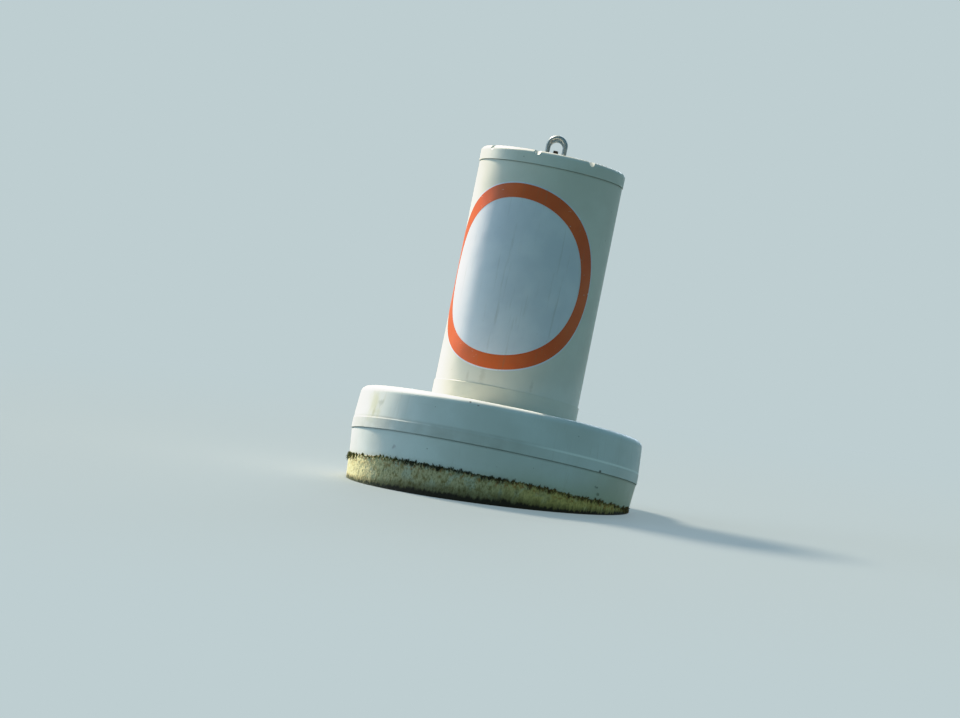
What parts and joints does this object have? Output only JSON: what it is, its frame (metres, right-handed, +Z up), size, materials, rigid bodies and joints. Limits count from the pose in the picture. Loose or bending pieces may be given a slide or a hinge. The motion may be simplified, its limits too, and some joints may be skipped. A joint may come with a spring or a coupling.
{
  "type": "navigation buoy",
  "caption": "Plastic can buoy for regulatory marks: an upright column through a round float collar, with caps at both ends tied by a rod, a lifting eye on top and a mooring eye below.",
  "frame": {"origin": "on the buoy's axis at the waterline, where the water crosses the axis", "axes": "+Z up along the column, -Y towards the side that carries the round sign, +X to the right of that side"},
  "size_m": [0.7112, 0.7112, 1.3058],
  "materials": {
    "cap_plastic": "weathered moulded polyethylene, off-white",
    "column_plastic": "weathered moulded polyethylene, off-white",
    "collar_plastic": "weathered moulded polyethylene, off-white",
    "hull_plastic": "weathered moulded polyethylene with a scum line",
    "ring_plastic": "moulded polyethylene, cream",
    "foot_plastic": "moulded polyethylene, stained by weed",
    "ballast_iron": "rough cast",
    "galvanised_steel": "hot dip galvanised, dulled",
    "sign_film_orange": "cast vinyl film, orange",
    "sign_film_white": "cast vinyl film, white",
    "weed": "short algae tufts"
  },
  "bodies": {
    "root": {"top_cap": "cap_plastic", "column_tube": "column_plastic", "deck_ring": "ring_plastic", "collar_upper": "collar_plastic", "collar_lower": "hull_plastic", "keel_ring": "ring_plastic", "foot_cap": "foot_plastic", "ballast_block": "ballast_iron", "tie_rod": "galvanised_steel", "cap_washer": "galvanised_steel", "lifting_eye": "galvanised_steel", "foot_washer": "galvanised_steel", "cap_nut": "galvanised_steel", "lock_nut": "galvanised_steel", "mooring_eye": "galvanised_steel"}
  },
  "joints": []
}
